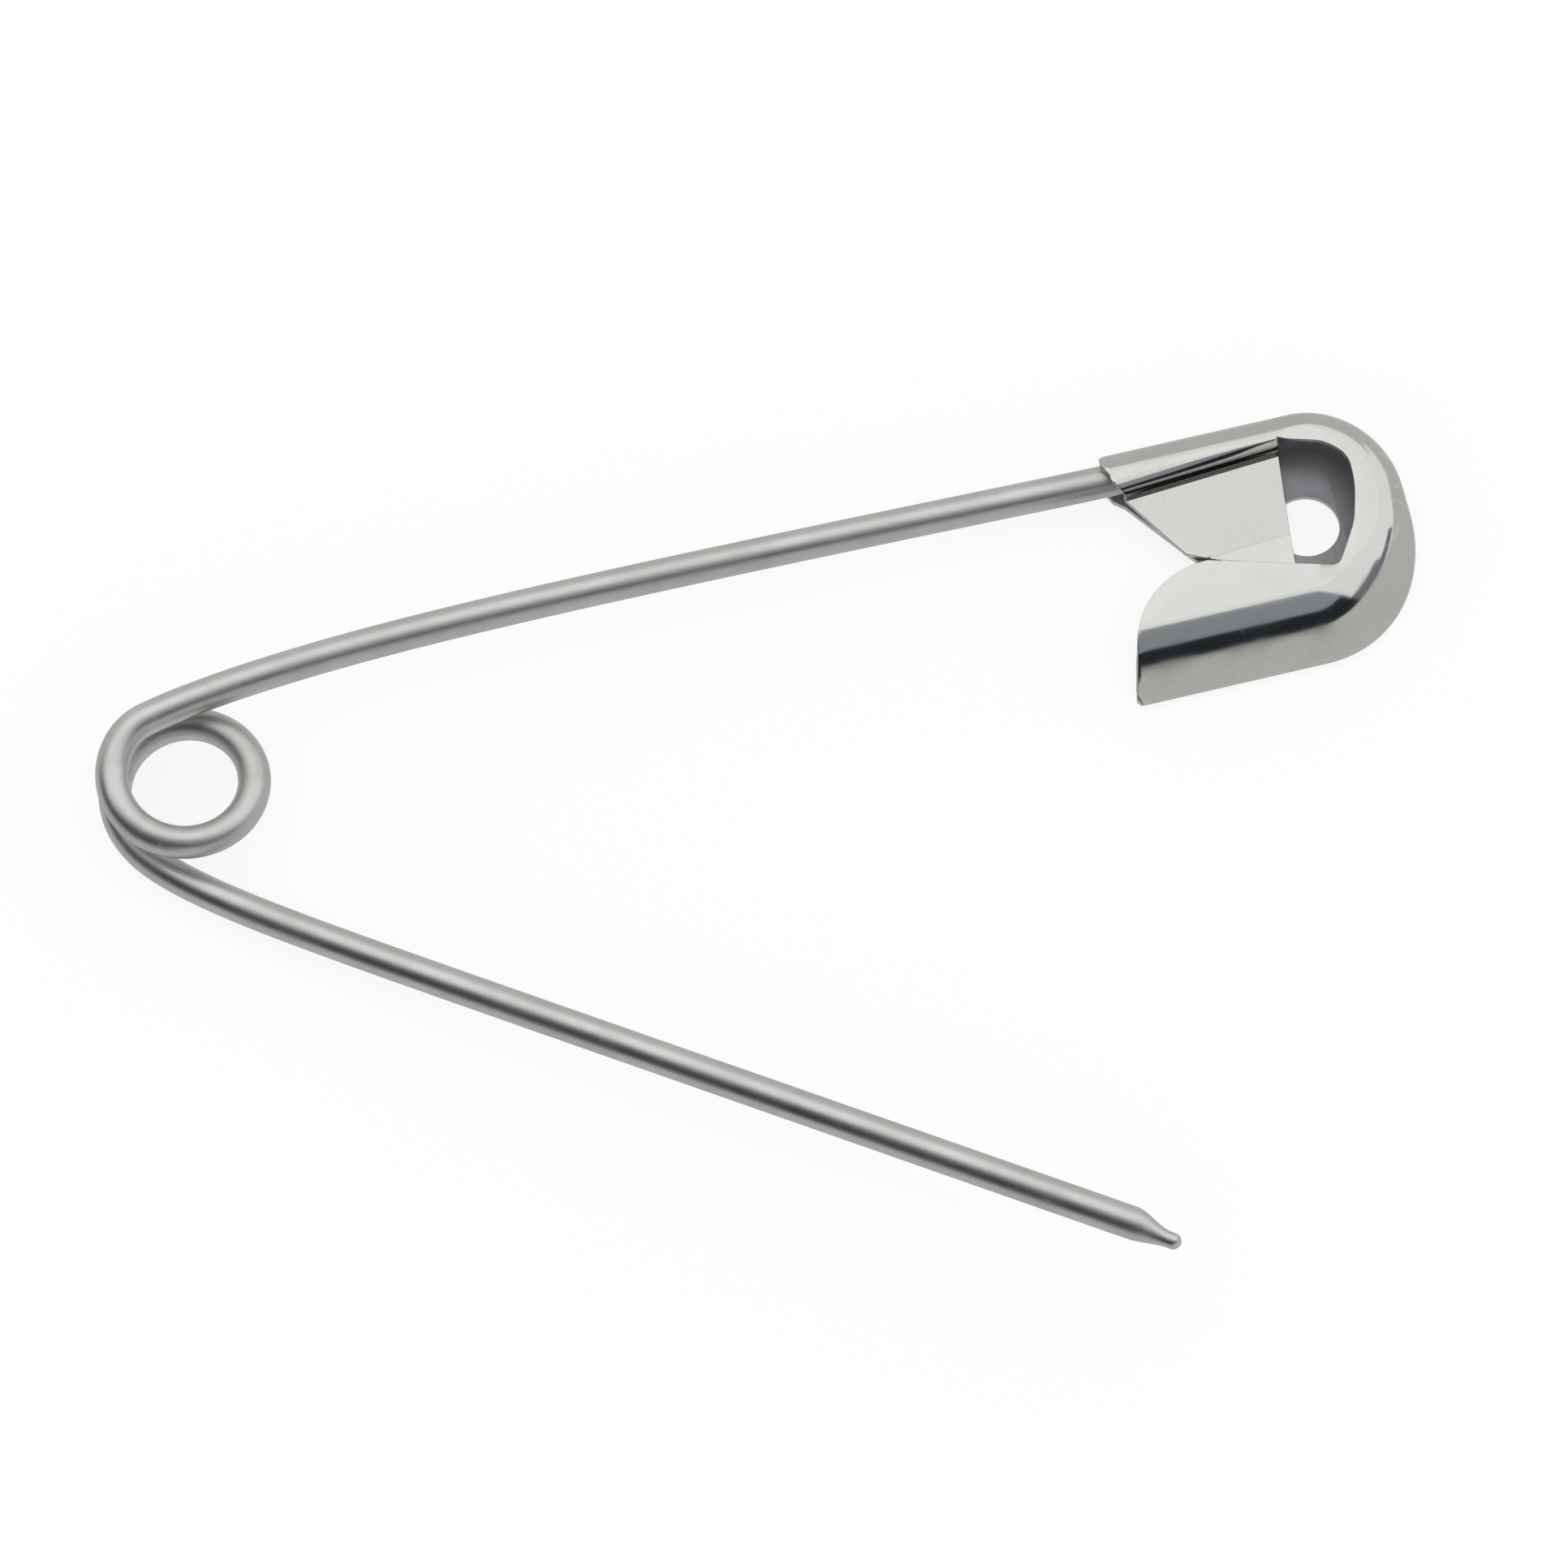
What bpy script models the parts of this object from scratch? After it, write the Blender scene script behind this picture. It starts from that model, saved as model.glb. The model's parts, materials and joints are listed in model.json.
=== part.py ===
# Safety pin, shown open: one bent wire and one folded sheet clasp
# The wire runs from its crimped end in the clasp, along the fixed arm, round the
# spring coil and out along the pin arm to its ground point. It is cut into nodes
# where its motion changes. Metres, +Z up, +X along the fixed arm to the clasp.
import math

import bmesh
import bpy
from mathutils import Vector

# Start from an empty scene
for old_object in list(bpy.data.objects):
    bpy.data.objects.remove(old_object, do_unlink=True)

# Wire sizes
wire_diameter = 0.00124
turn_gap = 0.0005
coil_radius = 0.00265
fixed_arm_length = 0.0377
seat_length = 0.0063
pin_arm_length = 0.0422
point_length = 0.0021
point_tip_share = 0.1
point_drop_share = 0.6

# Wire shape
open_angle = math.radians(36.5)
flare_turn = math.radians(68.75)
coil_start_share = -0.3
coil_end_share = 0.713
fixed_sweep = math.radians(13.36)
fixed_sweep_length = 0.0071
pin_sweep = math.radians(15.5)
pin_sweep_length = 0.0026
level_bend_length = 0.0016

# Wire fineness and clearances
loop_points = 24
arm_point_spacing = 0.0008
seam_gap = 0.00008
seam_stub_length = 0.0001
pass_gap = 0.0001

# Clasp sizes
sheet_thickness = 0.00028
gutter_clearance = 0.0002
crimp_clearance = 0.00005
clasp_length = 0.0112
clasp_width = 0.0101
gutter_overhang = 0.00084
top_corner_length = 0.0036
top_corner_width = 0.0039
low_corner_length = 0.0046
low_corner_width = 0.0049
corner_steps = 10

# Clasp cuts and flap
channel_edge_radius = 0.0006
channel_end_margin = 0.00015
flap_width = 0.0027
flap_top_level = 0.00108
flap_seat_gap = 0.00008
notch_depth = 0.0031
notch_drop = 0.0042
mouth_slant = 0.0002
lip_radius = 0.0035
slot_drop = 0.0047
slot_slope = math.radians(14)
window_length = 0.0031
window_lean = 0.0007
window_side_rise = 0.0017
hole_radius = 0.0013
hole_place = 0.00755
hole_drop = 0.0035
cut_overrun = 0.001

# Colours and finishes, linear colour with roughness
nickel_wire = ((0.62, 0.62, 0.6), 0.2)
nickel_sheet = ((0.68, 0.68, 0.65), 0.16)

# Derived sizes
wire_radius = wire_diameter / 2
coil_pitch = wire_diameter + turn_gap
coil_turn = math.radians(540) - open_angle - fixed_sweep - pin_sweep
bore_radius = wire_radius + crimp_clearance
channel_half_width = bore_radius + sheet_thickness
clasp_height = wire_diameter + 2 * gutter_clearance + 2 * sheet_thickness
seat_level = clasp_height / 2
rim_radius = clasp_height / 2
clasp_top = channel_half_width
clasp_low = clasp_top - clasp_width


# Scene set-up
parts = bpy.data.collections.new("safety_pin")
cutters = bpy.data.collections.new("cutters")
for collection in (parts, cutters):
    bpy.context.scene.collection.children.link(collection)


def add_empty(name, place, parent=None):
    empty = bpy.data.objects.new(name, None)
    empty.empty_display_size = wire_diameter
    parts.objects.link(empty)
    empty.parent = parent
    empty.location = place
    return empty


def add_material(name, finish):
    colour, roughness = finish
    material = bpy.data.materials.new(name)
    material.use_nodes = True
    shader = material.node_tree.nodes["Principled BSDF"]
    shader.inputs["Base Color"].default_value = (*colour, 1)
    shader.inputs["Roughness"].default_value = roughness
    shader.inputs["Metallic"].default_value = 1
    return material


def make_cutter(cutter):
    cutter.hide_render = True
    cutter.display_type = "WIRE"
    return cutter


# Curves become welded meshes
def mesh_from_curve(name, curve, collection, place):
    source = bpy.data.objects.new(name + "_curve", curve)
    bpy.context.scene.collection.objects.link(source)
    source.location = place
    bpy.context.view_layer.update()
    evaluated = source.evaluated_get(bpy.context.evaluated_depsgraph_get())
    mesh = bpy.data.meshes.new_from_object(evaluated)
    welded = bmesh.new()
    welded.from_mesh(mesh)
    bmesh.ops.remove_doubles(welded, verts=welded.verts, dist=wire_diameter / 1000)
    bmesh.ops.recalc_face_normals(welded, faces=welded.faces)
    welded.to_mesh(mesh)
    welded.free()
    result = bpy.data.objects.new(name, mesh)
    collection.objects.link(result)
    result.matrix_world = source.matrix_world.copy()
    bpy.data.objects.remove(source)
    return result


def round_tube(name, points, shares, sides_step, origin, parent, material):
    curve = bpy.data.curves.new(name, "CURVE")
    curve.dimensions = "3D"
    curve.bevel_depth = wire_radius
    curve.bevel_resolution = sides_step
    curve.use_fill_caps = True
    spline = curve.splines.new("POLY")
    spline.points.add(len(points) - 1)
    for knot, place, share in zip(spline.points, points, shares):
        knot.co = (*(place - origin), 1)
        knot.radius = share
    tube = mesh_from_curve(name, curve, parts, Vector((0, 0, 0)))
    tube.parent = parent
    tube.data.materials.append(material)
    tube.data.shade_smooth()
    tube.data.set_sharp_from_angle(angle=math.radians(40))
    return tube


def flat_prism(name, outline, low, high, rim=0, inset=0):
    curve = bpy.data.curves.new(name, "CURVE")
    curve.dimensions = "2D"
    curve.fill_mode = "BOTH"
    curve.extrude = (high - low) / 2 - rim
    curve.bevel_depth = rim
    curve.bevel_resolution = 4
    curve.offset = -rim - inset
    spline = curve.splines.new("POLY")
    spline.points.add(len(outline) - 1)
    for knot, (x, y) in zip(spline.points, outline):
        knot.co = (x, y, 0, 1)
    spline.use_cyclic_u = True
    place = Vector((0, 0, (low + high) / 2))
    return make_cutter(mesh_from_curve(name, curve, cutters, place))


def long_prism(name, section, left, right):
    curve = bpy.data.curves.new(name, "CURVE")
    curve.dimensions = "2D"
    curve.fill_mode = "BOTH"
    curve.extrude = (right - left) / 2
    spline = curve.splines.new("POLY")
    spline.points.add(len(section) - 1)
    for knot, (y, z) in zip(spline.points, section):
        knot.co = (y, z, 0, 1)
    spline.use_cyclic_u = True
    prism = mesh_from_curve(name, curve, cutters, Vector((0, 0, 0)))
    prism.rotation_euler = (math.radians(90), 0, math.radians(90))
    prism.location = ((left + right) / 2, 0, 0)
    return make_cutter(prism)


def combine(target, tool, operation):
    step = target.modifiers.new(tool.name, "BOOLEAN")
    step.operation = operation
    step.solver = "EXACT"
    step.object = tool


# Wire path: headings turn, levels follow the slopes of arm, coil and pin
def coil_bend_radius(turned):
    start = max(0, 1 - turned / flare_turn) ** 2
    end = max(0, 1 - (coil_turn - turned) / flare_turn) ** 2
    return coil_radius * (1 + coil_start_share * start + coil_end_share * end)


def coil_distances(steps):
    distances = [0]
    turn = coil_turn / steps
    for index in range(steps):
        distances.append(distances[-1] + turn * coil_bend_radius((index + 1 / 2) * turn))
    return distances


coil_steps = round(loop_points * coil_turn / math.tau)
coil_stops = coil_distances(coil_steps)
coil_length = coil_stops[-1]
coil_start = fixed_arm_length
coil_end = fixed_arm_length + coil_length

pass_level = clasp_height + pass_gap + wire_radius
pass_length = fixed_arm_length - coil_radius
coil_slope = coil_pitch / (math.tau * coil_radius)
pin_slope = (pass_level - wire_radius) / pass_length
bend_lift = level_bend_length * coil_slope * pin_slope / (coil_slope + pin_slope)
low_level = wire_radius - bend_lift
fixed_slope = (low_level + coil_slope * coil_length - seat_level) / fixed_arm_length


def rounded_corner(distance):
    if distance < -level_bend_length:
        return 0
    if distance > level_bend_length:
        return distance
    return (distance + level_bend_length) ** 2 / (4 * level_bend_length)


def level_at(distance):
    rise = fixed_slope * rounded_corner(distance)
    fall = (coil_slope + fixed_slope) * rounded_corner(distance - coil_start)
    lift = (coil_slope + pin_slope) * rounded_corner(distance - coil_end)
    return seat_level + rise - fall + lift


def turned_at(distance):
    reach = distance - coil_start
    for index in range(coil_steps):
        if reach <= coil_stops[index + 1]:
            part = (reach - coil_stops[index]) / (coil_stops[index + 1] - coil_stops[index])
            return (index + part) * coil_turn / coil_steps
    return coil_turn


def heading_at(distance):
    if distance < coil_start:
        lead = math.exp((distance - coil_start) / fixed_sweep_length)
        return math.pi + fixed_sweep * lead
    if distance > coil_end:
        tail = math.exp((coil_end - distance) / pin_sweep_length)
        return -open_angle - pin_sweep * tail
    return math.pi + fixed_sweep + turned_at(distance)


def walk(stops, start):
    points = [Vector((start.x, start.y, level_at(stops[0])))]
    for here, there in zip(stops, stops[1:]):
        heading = heading_at((here + there) / 2)
        length = there - here
        last = points[-1]
        x = last.x + math.cos(heading) * length
        y = last.y + math.sin(heading) * length
        points.append(Vector((x, y, level_at(there))))
    return points


def even_stops(first, last, spacing):
    count = max(2, round((last - first) / spacing))
    return [first + (last - first) * index / count for index in range(count + 1)]


# One walk along the whole wire, with short stubs at each seam
half_seam = seam_gap / 2
tip = coil_end + pin_arm_length
fixed_stops = even_stops(-seat_length, coil_start - half_seam - seam_stub_length, arm_point_spacing)
fixed_stops.append(coil_start - half_seam)
coil_inner = [coil_start + stop for stop in coil_stops[1:-1]]
first_coil = [coil_start + half_seam, coil_start + half_seam + seam_stub_length]
last_coil = [coil_end - half_seam - seam_stub_length, coil_end - half_seam]
spring_stops = first_coil + coil_inner + last_coil
pin_stops = [coil_end + half_seam]
point_start = tip - point_length
pin_stops += even_stops(pin_stops[0] + seam_stub_length, point_start, arm_point_spacing)
pin_stops += [point_start + point_length * step / 4 for step in range(1, 5)]
wire_stops = fixed_stops + spring_stops + pin_stops
wire_points = walk(wire_stops, Vector((seat_length, 0, 0)))
fixed_count = len(fixed_stops)
coil_count = fixed_count + len(spring_stops)
fixed_points = wire_points[:fixed_count]
coil_points = wire_points[fixed_count:coil_count]
pin_points = wire_points[coil_count:]

# Coil axis, from the round middle of the coil
middle = len(coil_points) // 2
middle_heading = heading_at(spring_stops[middle])
side = Vector((-math.sin(middle_heading), math.cos(middle_heading), 0))
coil_axis = coil_points[middle] + side * coil_radius
coil_axis.z = 0
pin_root_level = pin_points[0].z


# Ground point: the wire thins and drops to its outer side
def thinned_share(stop):
    along = max(0, stop - point_start) / point_length
    return 1 - (1 - point_tip_share) * along


pin_shares = [thinned_share(stop) for stop in pin_stops]
outer_side = Vector((math.sin(-open_angle), -math.cos(-open_angle), 0))
for pin_index, pin_share in enumerate(pin_shares):
    pin_points[pin_index] += outer_side * wire_radius * (1 - pin_share) * point_drop_share


# Least gap of the coil to itself, half a turn or more along the wire
def least_coil_gap():
    half_turn = math.pi * coil_radius
    least = coil_length
    for index, place in enumerate(coil_points):
        for other in range(index + 1, len(coil_points) - 1):
            if spring_stops[other] - spring_stops[index] < half_turn:
                continue
            edge = coil_points[other + 1] - coil_points[other]
            share = (place - coil_points[other]).dot(edge) / edge.length_squared
            foot = coil_points[other] + edge * min(1, max(0, share))
            least = min(least, (place - foot).length)
    return least - wire_diameter


# Clasp outlines, from the mouth at the origin of the crimped wire
def corner_points(centre, reach, rise, start_angle):
    points = []
    for step in range(corner_steps + 1):
        angle = start_angle + math.radians(90) * step / corner_steps
        x = centre[0] + reach * math.cos(angle)
        y = centre[1] + rise * math.sin(angle)
        points.append((x, y))
    return points


def clasp_outline():
    left = -gutter_overhang - rim_radius - cut_overrun
    low_centre = (clasp_length - low_corner_length, clasp_low + low_corner_width)
    top_centre = (clasp_length - top_corner_length, clasp_top - top_corner_width)
    right = corner_points(low_centre, low_corner_length, low_corner_width, math.radians(-90))
    right += corner_points(top_centre, top_corner_length, top_corner_width, 0)
    return [(left, clasp_low)] + right + [(left, clasp_top)]


def clasp_cavity(outline):
    cavity = flat_prism(
        "clasp_cavity",
        outline,
        sheet_thickness,
        clasp_height - sheet_thickness,
        rim_radius - sheet_thickness,
        sheet_thickness,
    )
    return cavity


def channel_block():
    left = -gutter_overhang - rim_radius - 2 * cut_overrun
    right = seat_length + channel_end_margin
    outline = [
        (left, -channel_half_width),
        (right, -channel_half_width),
        (right, clasp_top + cut_overrun),
        (left, clasp_top + cut_overrun),
    ]
    return flat_prism("channel_block", outline, -cut_overrun, clasp_height + cut_overrun)


def slot_edge(x):
    return -slot_drop - (x - notch_depth) * math.tan(slot_slope)


def front_window():
    left = -gutter_overhang - cut_overrun
    channel_end = seat_length + channel_end_margin
    near_end = hole_place
    far_end = channel_end + window_length
    lip = crimp_clearance / 2
    notch_inside = notch_depth / 2
    outline = [
        (notch_inside, slot_edge(notch_inside)),
        (near_end, slot_edge(near_end)),
        (far_end - window_lean, slot_edge(near_end) + window_side_rise),
        (far_end, -channel_half_width),
        (channel_end + window_lean, -channel_half_width / 2),
        (channel_end - lip, -channel_half_width - lip),
        (left, -channel_half_width - lip),
        (left, -notch_drop + channel_half_width),
    ]
    low = clasp_height - sheet_thickness - crimp_clearance
    return flat_prism("front_window", outline, low, clasp_height + cut_overrun)


def left_notch():
    far = -gutter_overhang - rim_radius - 2 * cut_overrun
    lip_centre_y = -slot_drop - lip_radius
    lip = []
    for step in range(corner_steps + 1):
        angle = math.radians(90) * step / corner_steps
        x = notch_depth - lip_radius * math.sin(angle)
        lip.append((x, lip_centre_y + lip_radius * math.cos(angle)))
    outline = [(far, clasp_top + cut_overrun), (0, clasp_top + cut_overrun)]
    outline += [(0, clasp_top), (mouth_slant, -channel_half_width)]
    outline += [(notch_depth - mouth_slant, -notch_drop)] + lip
    outline += [(-gutter_overhang, clasp_low), (-gutter_overhang, clasp_low - cut_overrun)]
    outline += [(far, clasp_low - cut_overrun)]
    return flat_prism("left_notch", outline, -cut_overrun, clasp_height + cut_overrun)


def channel_round():
    wall = -channel_half_width
    centre_y = wall + channel_edge_radius
    centre_z = clasp_height - channel_edge_radius
    section = [(wall - cut_overrun, centre_z)]
    for step in range(corner_steps + 1):
        angle = math.radians(180) - math.radians(90) * step / corner_steps
        y = centre_y + channel_edge_radius * math.cos(angle)
        section.append((y, centre_z + channel_edge_radius * math.sin(angle)))
    section += [(centre_y, clasp_height + cut_overrun)]
    section += [(wall - cut_overrun, clasp_height + cut_overrun)]
    left = -gutter_overhang - cut_overrun
    return long_prism("channel_round", section, left, seat_length + channel_end_margin)


def pressed_flap():
    wall = -channel_half_width + sheet_thickness / 2
    free_edge = -channel_half_width - flap_width
    seat = sheet_thickness + flap_seat_gap
    section = [
        (wall, flap_top_level - sheet_thickness),
        (wall, flap_top_level),
        (free_edge, seat + sheet_thickness),
        (free_edge, seat),
    ]
    left = -gutter_overhang - cut_overrun
    return long_prism("pressed_flap", section, left, seat_length)


def wire_bore():
    length = seat_length + channel_end_margin + 2 * cut_overrun
    bpy.ops.mesh.primitive_cylinder_add(vertices=24, radius=bore_radius, depth=length)
    bore = bpy.context.object
    bore.name = "wire_bore"
    bore.rotation_euler = (0, math.radians(90), 0)
    bore.location = (length / 2 - cut_overrun, 0, seat_level)
    move_to_cutters(bore)
    return make_cutter(bore)


def through_hole():
    bpy.ops.mesh.primitive_cylinder_add(vertices=32, radius=hole_radius, depth=clasp_height)
    hole = bpy.context.object
    hole.name = "through_hole"
    hole.location = (hole_place, -hole_drop, 0)
    move_to_cutters(hole)
    return make_cutter(hole)


def move_to_cutters(thing):
    for home in list(thing.users_collection):
        home.objects.unlink(thing)
    cutters.objects.link(thing)


def build_clasp(parent):
    outline = clasp_outline()
    shell = flat_prism("clasp_shell", outline, 0, clasp_height, rim_radius)
    cavity = clasp_cavity(outline)
    combine(cavity, channel_block(), "DIFFERENCE")
    clasp = bpy.data.objects.new("clasp", shell.data.copy())
    parts.objects.link(clasp)
    clasp.location = shell.location
    clasp.parent = parent
    bpy.data.objects.remove(shell)
    combine(clasp, cavity, "DIFFERENCE")
    combine(clasp, pressed_flap(), "UNION")
    combine(clasp, front_window(), "DIFFERENCE")
    combine(clasp, channel_round(), "DIFFERENCE")
    combine(clasp, wire_bore(), "DIFFERENCE")
    combine(clasp, left_notch(), "DIFFERENCE")
    combine(clasp, through_hole(), "DIFFERENCE")
    clasp.data.materials.append(add_material("clasp_nickel", nickel_sheet))
    clasp.data.shade_smooth()
    clasp.data.set_sharp_from_angle(angle=math.radians(30))
    return clasp


# Assembly
wire_material = add_material("wire_nickel", nickel_wire)
frame_root = add_empty("safety_pin_root", (0, 0, 0))
swing_axis = add_empty("pin_swing_axis", coil_axis, frame_root)
flex_axis = add_empty("side_flex_axis", (0, 0, pin_root_level), swing_axis)
flex_origin = coil_axis + Vector((0, 0, pin_root_level))
layout_origin = Vector((0, 0, 0))
full = [1] * len(wire_points)
fixed_arm = round_tube("fixed_arm", fixed_points, full, 2, layout_origin, frame_root, wire_material)
coil = round_tube("spring_coil", coil_points, full, 1, coil_axis, swing_axis, wire_material)
pin_arm = round_tube("pin_arm", pin_points, pin_shares, 2, flex_origin, flex_axis, wire_material)
clasp_part = build_clasp(frame_root)


# Origin at the middle of the bounding box, on the ground
def part_bounds():
    bpy.context.view_layer.update()
    graph = bpy.context.evaluated_depsgraph_get()
    corners = []
    for part in (fixed_arm, coil, pin_arm, clasp_part):
        seen = part.evaluated_get(graph)
        corners += [part.matrix_world @ vertex.co for vertex in seen.data.vertices]
    low = [min(corner[axis] for corner in corners) for axis in range(3)]
    high = [max(corner[axis] for corner in corners) for axis in range(3)]
    return low, high


bounds_low, bounds_high = part_bounds()
shift_x = -(bounds_low[0] + bounds_high[0]) / 2
shift_y = -(bounds_low[1] + bounds_high[1]) / 2
frame_root.location = (shift_x, shift_y, -bounds_low[2])
for cutter in cutters.objects:
    cutter.parent = frame_root
bpy.context.view_layer.update()

# Measures
bounds_low, bounds_high = part_bounds()
size_text = ["%.3f" % ((high - low) * 1000) for low, high in zip(bounds_low, bounds_high)]
print("size in mm:", " x ".join(size_text))
print("least gap of the coil to itself, mm: %.3f" % (least_coil_gap() * 1000))
print("coil turn in degrees: %.2f" % math.degrees(coil_turn))
print("clasp height in mm: %.3f" % (clasp_height * 1000))
swing_place = swing_axis.matrix_world.translation
flex_place = flex_axis.matrix_world.translation
print("swing axis, m: %.6f %.6f %.6f" % tuple(swing_place))
print("flex axis, m: %.6f %.6f %.6f" % tuple(flex_place))
print("mouth of the clasp, m: %.6f %.6f" % (shift_x, shift_y))
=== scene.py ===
# %% [markdown]
# An open safety pin, seen from above. The real one has two pieces: a length of round steel
# wire, bent into a fixed arm, a spring coil and a pin arm with a ground point, and a clasp
# folded from one thin sheet. Both are nickel plated. The imported CAD model is loaded first,
# because every piece below sits in its frame. The fixed arm and the clasp are attached to
# its frame body.

# %% Load the frame
import json
import math

import bmesh
import bpy
from mathutils import Matrix, Vector


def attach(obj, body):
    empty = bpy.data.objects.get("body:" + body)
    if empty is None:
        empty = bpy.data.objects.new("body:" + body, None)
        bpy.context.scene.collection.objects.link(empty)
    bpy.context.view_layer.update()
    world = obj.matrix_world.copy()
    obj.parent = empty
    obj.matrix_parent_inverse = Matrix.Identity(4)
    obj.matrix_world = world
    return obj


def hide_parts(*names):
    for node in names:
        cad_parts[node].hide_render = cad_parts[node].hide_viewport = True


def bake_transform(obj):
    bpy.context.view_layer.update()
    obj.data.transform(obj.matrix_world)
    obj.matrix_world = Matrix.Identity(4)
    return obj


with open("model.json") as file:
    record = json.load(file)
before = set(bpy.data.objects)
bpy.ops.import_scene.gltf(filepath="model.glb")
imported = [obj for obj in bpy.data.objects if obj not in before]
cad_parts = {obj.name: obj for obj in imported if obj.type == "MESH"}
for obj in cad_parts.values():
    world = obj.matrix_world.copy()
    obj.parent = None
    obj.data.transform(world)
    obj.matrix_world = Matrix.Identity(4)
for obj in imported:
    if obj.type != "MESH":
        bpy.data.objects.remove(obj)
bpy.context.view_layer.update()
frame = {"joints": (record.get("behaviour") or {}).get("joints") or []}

# %% [markdown]
# All lengths are metres. Nearly all repeat the values of the CAD source, so that each new
# piece lies where its CAD solid does. A few were measured again in the photo: the point is a
# little shorter and blunter than the solid's, and on the clasp the slot, the hole and the
# roll of the gutter differ by parts of a millimetre. The wire starts inside the clasp, and
# its place is measured from the clasp's mouth, which the CAD source prints.

# %% Sizes of the wire
wire_diameter = 0.00124
wire_radius = wire_diameter / 2
turn_gap = 0.0005
coil_radius = 0.00265
fixed_arm_length = 0.0377
seat_length = 0.0063
pin_arm_length = 0.0417
open_angle = math.radians(36.5)
flare_turn = math.radians(68.75)
coil_start_share = -0.3
coil_end_share = 0.713
fixed_sweep = math.radians(13.36)
fixed_sweep_length = 0.0071
pin_sweep = math.radians(15.5)
pin_sweep_length = 0.0026
level_bend_length = 0.0016
pass_gap = 0.0001
coil_turn = math.radians(540) - open_angle - fixed_sweep - pin_sweep
mouth = Vector((0.014399, 0.015694, 0))
print("coil turns: %.2f" % (coil_turn / math.tau))

# %% Sizes of the clasp
sheet_thickness = 0.00028
gutter_clearance = 0.0002
crimp_clearance = 0.00005
clasp_height = wire_diameter + 2 * gutter_clearance + 2 * sheet_thickness
clasp_length = 0.0112
clasp_width = 0.0101
clasp_top = wire_radius + crimp_clearance + sheet_thickness
clasp_low = clasp_top - clasp_width
seat_level = clasp_height / 2
print("clasp height in mm: %.2f" % (clasp_height * 1000))

# %% [markdown]
# The spring coil is wire wound on a peg, about one turn and a third. A circle would be the
# easy way, but a wound spring starts tight and leaves wide, so here the bend radius changes
# over both ends of the turn. The turn is split into small equal angles, and each angle gets
# the length of wire that its radius asks for.

# %% Turns of the coil
steps_per_turn = 96
coil_steps = round(steps_per_turn * coil_turn / math.tau)


def coil_bend_radius(turned):
    start = max(0, 1 - turned / flare_turn) ** 2
    end = max(0, 1 - (coil_turn - turned) / flare_turn) ** 2
    return coil_radius * (1 + coil_start_share * start + coil_end_share * end)


coil_stops = [0]
for index in range(coil_steps):
    bend = coil_bend_radius((index + 1 / 2) * coil_turn / coil_steps)
    coil_stops.append(coil_stops[-1] + bend * coil_turn / coil_steps)
coil_length = coil_stops[-1]
coil_start = fixed_arm_length
coil_end = coil_start + coil_length
tip = coil_end + pin_arm_length
print("wire length in mm: %.1f" % ((tip + seat_length) * 1000))

# %% [markdown]
# The wire is one line in space, and two functions say all about it. The heading turns slowly
# on the arms and fast in the coil. The level climbs to the top of the coil, comes down
# through its turns and lifts again along the pin arm, which passes in front of the clasp.
# Control points set by hand could do this too, but slopes that are worked out from the
# wire's thickness and the clasp's height still fit when one of those changes.

# %% Heading and level along the wire
pass_level = clasp_height + pass_gap + wire_radius
coil_slope = (wire_diameter + turn_gap) / (math.tau * coil_radius)
pin_slope = (pass_level - wire_radius) / (fixed_arm_length - coil_radius)
bend_lift = level_bend_length * coil_slope * pin_slope / (coil_slope + pin_slope)
low_level = wire_radius - bend_lift
fixed_slope = (low_level + coil_slope * coil_length - seat_level) / fixed_arm_length


def rounded_corner(distance):
    if abs(distance) > level_bend_length:
        return max(0, distance)
    return (distance + level_bend_length) ** 2 / (4 * level_bend_length)


def level_at(distance):
    rise = fixed_slope * rounded_corner(distance)
    fall = (coil_slope + fixed_slope) * rounded_corner(distance - coil_start)
    lift = (coil_slope + pin_slope) * rounded_corner(distance - coil_end)
    return seat_level + rise - fall + lift


def heading_at(distance):
    if distance < coil_start:
        lead = math.exp((distance - coil_start) / fixed_sweep_length)
        return math.pi + fixed_sweep * lead
    if distance > coil_end:
        tail = math.exp((coil_end - distance) / pin_sweep_length)
        return -open_angle - pin_sweep * tail
    reach = distance - coil_start
    index = max(i for i in range(coil_steps) if coil_stops[i] <= reach)
    part = (reach - coil_stops[index]) / (coil_stops[index + 1] - coil_stops[index])
    return math.pi + fixed_sweep + (index + part) * coil_turn / coil_steps


print("level of the wire at its tip in mm: %.2f" % (level_at(tip) * 1000))

# %% [markdown]
# Now the wire is walked from its hidden end to its tip, in strides that are short in the
# coil and shorter still at the point, where the thickness changes fast. Each stop keeps its
# place and its tangent. The stretches share one walk, so they meet without a step.

# %% Walk along the whole wire
point_length = 0.0021
tip_round_length = 0.0003
arm_spacing = 0.0005
point_spacing = arm_spacing / 5
tip_spacing = tip_round_length / 10


def even_stops(first, last, spacing):
    count = max(2, round((last - first) / spacing))
    return [first + (last - first) * index / count for index in range(count)]


point_start = tip - point_length
tip_start = tip - tip_round_length
stops = even_stops(-seat_length, coil_start, arm_spacing)
first_coil_ring = len(stops)
stops += [coil_start + stop for stop in coil_stops[:-1]]
first_pin_ring = len(stops)
stops += even_stops(coil_end, point_start, arm_spacing)
stops += even_stops(point_start, tip_start, point_spacing)
stops += even_stops(tip_start, tip, tip_spacing) + [tip]

places = [mouth + Vector((seat_length, 0, level_at(stops[0])))]
for here, there in zip(stops, stops[1:]):
    heading = heading_at((here + there) / 2)
    stride = Vector((math.cos(heading), math.sin(heading), 0)) * (there - here)
    stride.z = level_at(there) - level_at(here)
    places.append(places[-1] + stride)

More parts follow.
